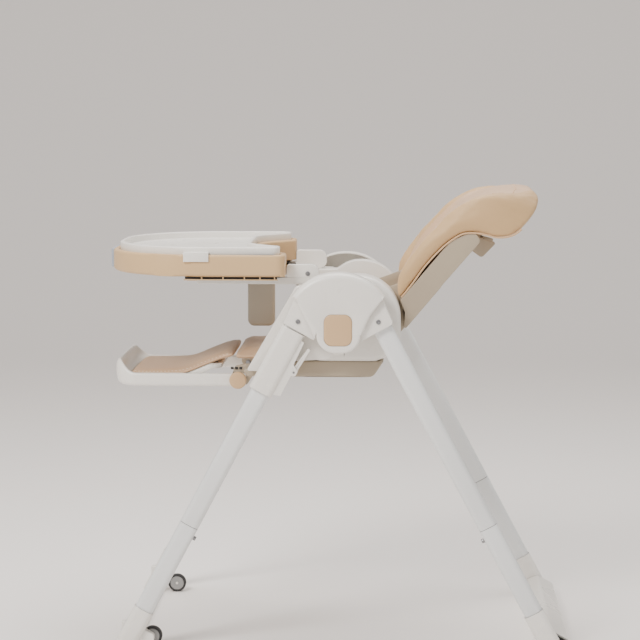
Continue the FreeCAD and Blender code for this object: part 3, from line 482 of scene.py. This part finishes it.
for side, way in SIDES:
    low, high = (138.1, 139.0) if way > 0 else (-139.0, -138.1)
    # Painted shade: three black blocks and a bar stand in for the shaded insides of the ratchet slots.
    marks = [small_block((low, y, z), (high, y + 6.5, z + 5.5))
             for y, z in ((-219, 572), (-210, 572), (-201, 572))]
    marks.append(small_block((low, -214, 562), (high, -196, 566)))
    ratchet = joined("ratchet_slots_" + side, marks, gap_shade_black)
    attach(ratchet, "seat")
    low, high = (240, 245.5) if way > 0 else (-245.5, -240)
    rail_parts = [small_block((low, -306, 770.6), (high, -112, 772.6), 0.0006)]
    for y in (-270, -226, -182, -150, -120):
        rail_parts.append(small_block((low, y, 771.5), (high, y + 2.2, 778.2)))
    rail = joined("tray_rail_" + side, rail_parts, tray_beige)
    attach(rail, "tray")
    # Painted shade: a black strip behind the rail's notches stands in for the shaded hollow under the tray
    # wing.
    low, high = (236, 239.4) if way > 0 else (-239.4, -236)
    rail_shade_block = small_block((low, -304, 771.2), (high, -114, 779.6))
    rail_shade_strip = joined("tray_rail_shade_strip_" + side, [rail_shade_block], gap_shade_black)
    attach(rail_shade_strip, "tray")


def leg_line(name, x, way, reach, height, inset):
    """Thin black band standing in for the shade in the gap between two tubes (painted shade), way -1 for a
    front leg and 1 for a rear one.
    """
    angle = math.radians(28) * way
    rings = []
    for down in (reach, reach + height):
        ring = []
        for index in range(48):
            turn = 2 * math.pi * index / 48
            a = math.copysign(abs(math.cos(turn)) ** 0.62, math.cos(turn)) * (12 - inset)
            b = math.copysign(abs(math.sin(turn)) ** 0.62, math.sin(turn)) * (20 - inset)
            along = 80 * way + b
            ring.append(Vector((x + a, 13 + along * math.cos(angle) + down * math.sin(angle),
                                674 + along * math.sin(angle) - down * math.cos(angle))) / 1000)
        rings.append(ring)
    band = lofted(name, rings, gap_shade_black)
    return band


for side, way in SIDES:
    for end, turn, body in (("front", -1, "front_frame"), ("rear", 1, "rear_frame")):
        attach(leg_line("%s_joint_line_%s" % (end, side), 262 * way, turn, 507.1, 0.8, 0.9), body)


# ---------------------------------------------------------------- leatherette pads
# Soft beige leatherette over foam: the bucket-shaped back cushion, the seat pad and the
# leg rest pad. Each is lofted a little small, swelled by a cloth run, then smoothed.
leather_group, taken, given = new_group(
    "leatherette skin", ("Pebble per metre", "Pebble depth", "Smooth", "Dull"), ("Main", "Crease"))
where = leather_group.nodes.new("ShaderNodeTexCoord")
pebbles = leather_group.nodes.new("ShaderNodeTexVoronoi")
pebbles.feature = "DISTANCE_TO_EDGE"
leather_group.links.new(where.outputs["Object"], pebbles.inputs["Vector"])
leather_group.links.new(taken.outputs["Pebble per metre"], pebbles.inputs["Scale"])
patches = noise(leather_group, 12.0, 4.0, where)
fine = noise(leather_group, 420.0, 3.0, where)
valley = remap(leather_group, pebbles.outputs["Distance"], 0.0, 0.12, 0.0, 1.0)
patch_mask = remap(leather_group, patches.outputs["Fac"], 0.35, 0.68, 0.0, 0.55)
leather_group.links.new(mix_colours(leather_group, patch_mask, taken.outputs["Main"], taken.outputs["Crease"]),
                        given.inputs["Colour"])
leather_group.links.new(remap(leather_group, fine.outputs["Fac"], 0.3, 0.7, taken.outputs["Smooth"],
                              taken.outputs["Dull"]), given.inputs["Roughness"])
bump = leather_group.nodes.new("ShaderNodeBump")
bump.inputs["Distance"].default_value = 0.0003
leather_group.links.new(taken.outputs["Pebble depth"], bump.inputs["Strength"])
leather_group.links.new(valley, bump.inputs["Height"])
leather_group.links.new(bump.outputs["Normal"], given.inputs["Normal"])


def leatherette(name, main, crease):
    """Leatherette finish with a soft sheen."""
    finish = finish_from(name, leather_group, {"Main": main, "Crease": crease},
                         {"Pebble per metre": 620, "Pebble depth": 0.35, "Smooth": 0.42, "Dull": 0.56})
    shader = finish.node_tree.nodes["Principled BSDF"]
    shader.inputs["Sheen Weight"].default_value = 0.12
    return finish


def between(table, value):
    """Value read from a table of (key, number) pairs, by a smooth line through them."""
    if value <= table[0][0]:
        return table[0][1]
    for index in range(len(table) - 1):
        low, high = table[index], table[index + 1]
        if value <= high[0]:
            before = table[max(index - 1, 0)]
            after = table[min(index + 2, len(table) - 1)]
            span = high[0] - low[0]
            slope_low = (high[1] - before[1]) / max(high[0] - before[0], 1e-6)
            slope_high = (after[1] - low[1]) / max(after[0] - low[0], 1e-6)
            t = (value - low[0]) / span
            return ((2 * t ** 3 - 3 * t ** 2 + 1) * low[1] + (t ** 3 - 2 * t ** 2 + t) * span * slope_low
                    + (3 * t ** 2 - 2 * t ** 3) * high[1] + (t ** 3 - t ** 2) * span * slope_high)
    return table[-1][1]


def plump(piece, voxel, pressure, cap, held, levels=1):
    """Remeshes a pad and swells it as cloth under pressure. Points that pass the held test stay put."""
    deselect_all()
    bpy.context.view_layer.objects.active = piece
    piece.select_set(True)
    grid = piece.modifiers.new("grid", "REMESH")
    grid.mode = "VOXEL"
    grid.voxel_size = voxel
    bpy.ops.object.modifier_apply(modifier="grid")
    start = [vertex.co.copy() for vertex in piece.data.vertices]
    pins = piece.vertex_groups.new(name="held")
    pins.add([v.index for v in piece.data.vertices if held(v.co, v.normal)], 1.0, "REPLACE")
    cloth = piece.modifiers.new("swell", "CLOTH")
    cloth.settings.quality = 5
    cloth.settings.use_pressure = True
    cloth.settings.uniform_pressure_force = pressure
    cloth.settings.effector_weights.gravity = 0
    cloth.settings.vertex_group_mass = "held"
    scene = bpy.context.scene
    for step in range(1, 21):
        scene.frame_set(step)
    swollen = piece.evaluated_get(bpy.context.evaluated_depsgraph_get()).to_mesh()
    places = [vertex.co.copy() for vertex in swollen.vertices]
    piece.modifiers.remove(cloth)
    scene.frame_set(1)
    for vertex, old, new in zip(piece.data.vertices, start, places):
        shift = new - old
        if shift.length > cap:
            shift *= cap / shift.length
        vertex.co = old + shift
    piece.data.update()
    smooth = piece.modifiers.new("smooth", "SMOOTH")
    smooth.factor = 0.5
    smooth.iterations = 6
    bpy.ops.object.modifier_apply(modifier="smooth")
    if levels:
        finer = piece.modifiers.new("finer", "SUBSURF")
        finer.levels = levels
        finer.render_levels = levels
        bpy.ops.object.modifier_apply(modifier="finer")
    bpy.ops.object.shade_smooth()


beige_hide = leatherette("beige_hide", (0.57, 0.365, 0.175), (0.53, 0.335, 0.155))
taupe_hide = leatherette("taupe_hide", (0.60, 0.39, 0.235), (0.56, 0.36, 0.21))

# Back cushion: a bucket with tall side wings and a rolled head, held in the back shell.
back_y, back_z = 0.171, 0.745
lean = math.radians(40)


def on_back(x, up, out):
    """Point at x, a distance up the back from its hinge and a distance out in front of it, in mm."""
    return Vector((x / 1000, back_y + (up * math.sin(lean) - out * math.cos(lean)) / 1000,
                   back_z + (up * math.cos(lean) + out * math.sin(lean)) / 1000))


wing_front = [(-34, 22), (-20, 36), (0, 48), (31, 54), (86, 56), (141, 53), (183, 47), (215, 38), (246, 22),
              (269, 1), (295, -29), (312, -46), (320, -55)]
wing_rear = [(-34, 14), (5, 15.5), (50, 19), (100, 17), (132, 11), (158, -1), (179, -28), (191, -54),
             (209, -73), (224, -81), (240, -84), (270, -85), (294, -82), (310, -73), (320, -62)]
panel_front = [(-34, 18), (0, 25), (60, 29), (150, 30), (185, 29), (212, 28), (246, 16), (269, -4),
               (295, -33), (320, -57)]
half_width = [(-34, 182), (0, 185), (60, 187), (180, 188), (230, 185), (265, 174), (290, 157), (308, 134),
              (320, 108)]


def back_ring(up):
    """One closed cross-section of the bucket, both halves."""
    wide = between(half_width, up)
    front = between(wing_front, up)
    rear = between(wing_rear, up)
    panel = min(between(panel_front, up), front - 1)
    roll = min(17, (front - rear) * 0.45)
    half = [(0, rear), (wide * 0.35, rear), (wide * 0.7, rear), (wide - 8, rear), (wide - 1, rear + 2)]
    half += [(wide, rear + (front - rear) * part) for part in (0.25, 0.5)]
    for angle in (10, 35, 60, 90, 120, 150):
        turn = math.radians(angle)
        half.append((wide - roll + roll * math.cos(turn), front - roll + roll * math.sin(turn)))
    inner = wide - 2 * roll
    deep = max(front - roll * 0.6 - panel, 0.5)
    for part, drop in ((3, 0.35), (9, 0.65), (18, 0.88), (30, 0.98)):
        half.append((inner - part, front - roll * 0.6 - deep * drop))
    half += [(inner * 0.55, panel + 0.5), (inner * 0.3, panel + 2), (0, panel + 3)]
    other = [(-x, out) for x, out in reversed(half[1:-1])]
    return [on_back(x, up, out) for x, out in half + other]


back_pad = lofted("back_pad", [back_ring(-34 + 354 * step / 46) for step in range(47)], beige_hide)
rear_way = Vector((0, math.cos(lean), -math.sin(lean)))
plump(back_pad, 0.005, 4.0, 0.006, lambda place, normal: normal.dot(rear_way) > 0.7)
back_pad.data.materials.append(taupe_hide)
for face in back_pad.data.polygons:
    place = face.center - Vector((0, back_y, back_z))
    up = (place.y * math.sin(lean) + place.z * math.cos(lean)) * 1000
    out = (-place.y * math.cos(lean) + place.z * math.sin(lean)) * 1000
    inside = min(between(half_width, up) - 30, 152)
    faces_child = face.normal.dot(rear_way) < 0.2
    if abs(place.x) * 1000 < inside and out > between(panel_front, up) - 12 and faces_child:
        face.material_index = 1
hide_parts("back_cushion")
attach(back_pad, "backrest")
dress("back_shell", shell_grey, 0.0010)
dress("recline_handle", gloss_white, 0.0030)


# Seat pad: a flat pad with a raised rear edge that lies in the tub.
def pad_ring(point, normal, wide, thick, crown, power=4.0, count=36):
    """Cross-section of a flat pad: a squared oval, fuller above than below."""
    ring = []
    for index in range(count):
        turn = 2 * math.pi * index / count
        across = math.copysign(abs(math.cos(turn)) ** (2 / power), math.cos(turn))
        lift = math.copysign(abs(math.sin(turn)) ** (2 / power), math.sin(turn))
        rise = thick / 2 * lift + (crown * (1 - across ** 2) if lift > 0 else 0)
        ring.append(Vector((wide * across, point[0] + normal[0] * rise, point[1] + normal[1] * rise)) / 1000)
    return ring


def pad_along(name, line, wide, thick, crown, finish, blunt="", power=4.0):
    """Pad lofted along a line of (y, z) points in mm, thinner at each end that isn't blunt."""
    rings = []
    lengths = [0]
    for low, high in zip(line, line[1:]):
        lengths.append(lengths[-1] + math.hypot(high[0] - low[0], high[1] - low[1]))
    ys = [(lengths[i], line[i][0]) for i in range(len(line))]
    zs = [(lengths[i], line[i][1]) for i in range(len(line))]
    steps = 40
    for step in range(steps + 1):
        along = lengths[-1] * step / steps
        near, far = max(along - 2, 0), min(along + 2, lengths[-1])
        run = Vector((between(ys, far) - between(ys, near), between(zs, far) - between(zs, near)))
        run.normalize()
        ends = min(step + (3 if "start" in blunt else 0), steps - step + (3 if "end" in blunt else 0))
        size = (0.45, 0.78, 0.93, 1.0)[min(ends, 3)]
        rings.append(pad_ring((between(ys, along), between(zs, along)), (-run.y, run.x),
                              wide * (0.97 + 0.03 * size), thick * size, crown * size, power))
    return lofted(name, rings, finish)


seat_line = [(-210, 600), (-150, 600), (-60, 598), (20, 597), (58, 606), (80, 638)]
seat_pad = pad_along("seat_pad", seat_line, 137, 18, 4, taupe_hide, "start")
plump(seat_pad, 0.005, 4.0, 0.005, lambda place, normal: normal.z < -0.6)
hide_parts("seat_cushion")
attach(seat_pad, "seat")

# Leg rest pad: a thin stitched pad that bends up towards the seat.
rest_line = [(-433, 561.5), (-387, 560), (-322, 564), (-277, 581), (-237, 596), (-216, 601)]
rest_pad = pad_along("leg_rest_cushion", rest_line, 123, 12, 2, taupe_hide, "end")
plump(rest_pad, 0.004, 3.0, 0.003, lambda place, normal: normal.z < -0.6)
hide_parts("leg_rest_pad")
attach(rest_pad, "leg_rest")


# ---------------------------------------------------------------- stitching and piping
# Thick thread along the leg rest pad's side edges, a rolled piping where the back
# cushion's cover meets the back shell, and a sewn seam over the head roll.
thread_cream = moulded("thread_cream", (0.80, 0.68, 0.54), (0.72, 0.60, 0.47), 0.5, 3000, 0.3, 0.6, 0.8)


def surface_of(piece):
    """Ray-test tree of a finished mesh."""
    mesh = bmesh.new()
    mesh.from_mesh(piece.data)
    tree = BVHTree.FromBMesh(mesh)
    mesh.free()
    return tree


rest_surface = surface_of(rest_pad)
stitches = bmesh.new()
for way in (-1, 1):
    for step in range(27):
        y = (-424 + 204 * step / 26) / 1000
        middle_z = (between(rest_line, y * 1000) + 3.2) / 1000
        ends = []
        for offset in (-0.0022, 0.0022):
            start = Vector((way * 0.2, y + offset, middle_z))
            hit, normal, _, _ = rest_surface.ray_cast(start, Vector((-way, 0, 0)))
            if hit:
                ends.append(hit + normal * 0.0003)
        if len(ends) == 2:
            made = bmesh.ops.create_icosphere(stitches, subdivisions=1, radius=0.0009)
            run = ends[1] - ends[0]
            middle = (ends[0] + ends[1]) / 2
            for vertex in made["verts"]:
                flat = vertex.co.copy()
                vertex.co = middle + run * (flat.y / 0.0009) * 0.55 + Vector((flat.x, 0, flat.z))
stitch_data = bpy.data.meshes.new("leg_rest_stitches")
stitches.to_mesh(stitch_data)
stitches.free()
stitch_data.materials.append(thread_cream)
stitch_piece = bpy.data.objects.new("leg_rest_stitches", stitch_data)
bpy.context.scene.collection.objects.link(stitch_piece)
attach(stitch_piece, "leg_rest")

piping_hide = leatherette("piping_hide", (0.66, 0.42, 0.23), (0.60, 0.38, 0.20))


def rod(name, points, radius, finish, closed=False):
    """Round rod along a smooth line, made a mesh."""
    curve = bpy.data.curves.new(name, "CURVE")
    curve.dimensions = "3D"
    curve.bevel_depth = radius
    curve.bevel_resolution = 3
    curve.use_fill_caps = True
    line = curve.splines.new("NURBS")
    line.points.add(len(points) - 1)
    for holder, point in zip(line.points, points):
        holder.co = tuple(point) + (1,)
    line.order_u = 3
    line.use_endpoint_u = not closed
    line.use_cyclic_u = closed
    shape = bpy.data.objects.new(name, curve)
    bpy.context.scene.collection.objects.link(shape)
    deselect_all()
    bpy.context.view_layer.objects.active = shape
    shape.select_set(True)
    bpy.ops.object.convert(target="MESH")
    piece = bpy.context.object
    piece.data.materials.clear()
    piece.data.materials.append(finish)
    bpy.ops.object.shade_smooth()
    return piece


for side, way in SIDES:
    run = []
    for step in range(40):
        up = -30 + 268 * step / 39
        run.append(on_back(way * (between(half_width, up) - 1), up, between(wing_rear, up) - 0.5))
    piping = rod("back_piping_" + side, run, 0.0019, piping_hide)
    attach(piping, "backrest")


# Sewn seam over the head roll.
def seam_over(name, piece_tree, points, radius, body):
    """Thin rolled seam laid on a pad: points are (x, up) pairs on the back, in mm."""
    run = []
    for x, up in points:
        hit, normal, _, _ = piece_tree.ray_cast(on_back(x, up, 160), rear_way)
        if hit:
            run.append(hit + normal * 0.0001)
    seam = rod(name, run, radius, piping_hide)
    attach(seam, body)


head_points = []
for step in range(33):
    x = -166 + 332 * step / 32
    head_points.append((x, 296 - 34 * (x / 166) ** 4 - 8 * (x / 166) ** 2))
seam_over("head_seam", surface_of(back_pad), head_points, 0.0011, "backrest")


# ---------------------------------------------------------------- harness
# Pale woven webbing over the shoulders and across the lap, with a grey moulded buckle.
weave_group, taken, given = new_group("webbing weave", ("Ribs per metre", "Rib depth"), ("Main", "Shadow"))
where = weave_group.nodes.new("ShaderNodeTexCoord")
ribs = weave_group.nodes.new("ShaderNodeTexWave")
ribs.bands_direction = "Y"
ribs.inputs["Distortion"].default_value = 0.6
weave_group.links.new(where.outputs["UV"], ribs.inputs["Vector"])
weave_group.links.new(taken.outputs["Ribs per metre"], ribs.inputs["Scale"])
fuzz = noise(weave_group, 900.0, 2.0, where)
rib_colour = mix_colours(weave_group, ribs.outputs["Fac"], taken.outputs["Shadow"], taken.outputs["Main"])
weave_group.links.new(rib_colour, given.inputs["Colour"])
weave_group.links.new(remap(weave_group, fuzz.outputs["Fac"], 0.3, 0.7, 0.62, 0.8), given.inputs["Roughness"])
bump = weave_group.nodes.new("ShaderNodeBump")
bump.inputs["Distance"].default_value = 0.0005
weave_group.links.new(taken.outputs["Rib depth"], bump.inputs["Strength"])
weave_group.links.new(ribs.outputs["Fac"], bump.inputs["Height"])
weave_group.links.new(bump.outputs["Normal"], given.inputs["Normal"])
pale_webbing = finish_from("pale_webbing", weave_group,
                           {"Main": (0.74, 0.75, 0.78), "Shadow": (0.56, 0.57, 0.61)},
                           {"Ribs per metre": 110.0, "Rib depth": 0.6})


def webbing(name, line, across, wide, thick):
    """Flat strap along a line of points, with its width along a direction and a UV map in metres."""
    mesh = bmesh.new()
    uv = mesh.loops.layers.uv.new("weave")
    rows = []
    along = 0
    marks = []
    for index, point in enumerate(line):
        back = line[max(index - 1, 0)]
        fore = line[min(index + 1, len(line) - 1)]
        normal = across.cross(fore - back).normalized()
        if index:
            along += (point - line[index - 1]).length
        marks.append(along)
        edge = [(-0.5, 0.3), (-0.46, 0.5), (0.46, 0.5), (0.5, 0.3), (0.5, -0.3), (0.46, -0.5), (-0.46, -0.5),
                (-0.5, -0.3)]
        rows.append([mesh.verts.new(point + across * wide * a + normal * thick * b) for a, b in edge])
    for row in range(len(rows) - 1):
        for index in range(8):
            after = (index + 1) % 8
            face = mesh.faces.new((rows[row][index], rows[row][after], rows[row + 1][after],
                                   rows[row + 1][index]))
            for loop, (mark, number) in zip(face.loops, ((row, index), (row, after), (row + 1, after),
                                                         (row + 1, index))):
                loop[uv].uv = (number * wide / 4, marks[mark])
    mesh.faces.new(list(reversed(rows[0])))
    mesh.faces.new(rows[-1])
    bmesh.ops.recalc_face_normals(mesh, faces=mesh.faces)
    data = bpy.data.meshes.new(name)
    mesh.to_mesh(data)
    mesh.free()
    data.materials.append(pale_webbing)
    piece = bpy.data.objects.new(name, data)
    bpy.context.scene.collection.objects.link(piece)
    deselect_all()
    bpy.context.view_layer.objects.active = piece
    piece.select_set(True)
    bpy.ops.object.shade_smooth_by_angle(angle=math.radians(40))
    return piece


back_surface = surface_of(back_pad)
seat_surface = surface_of(seat_pad)
out_way = -rear_way
for side, way in SIDES:
    line = []
    for step in range(30):
        up = 118 - 136 * step / 29
        hit, _, _, _ = back_surface.ray_cast(on_back(way * 62, up, 110), rear_way)
        line.append(hit + out_way * 0.0022)
    piece = webbing("shoulder_strap_" + side, line, Vector((1, 0, 0)), 0.026, 0.0018)
    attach(piece, "backrest")
    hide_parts("shoulder_straps")
    line = []
    for step in range(24):
        x = way * (24 + 108 * step / 23) / 1000
        hit, _, _, _ = seat_surface.ray_cast(Vector((x, -0.001, 0.7)), Vector((0, 0, -1)))
        line.append(hit + Vector((0, 0, 0.002)))
    piece = webbing("lap_strap_" + side, line, Vector((0, 1, 0)), 0.026, 0.0018)
    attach(piece, "seat")
    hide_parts("lap_straps")
buckle = reshaped("harness_buckle", "lap_buckle", disc_grey,
                  [(lambda p: p.z > 0.62, 0.004, 4)], 0.0006)
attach(buckle, "seat")
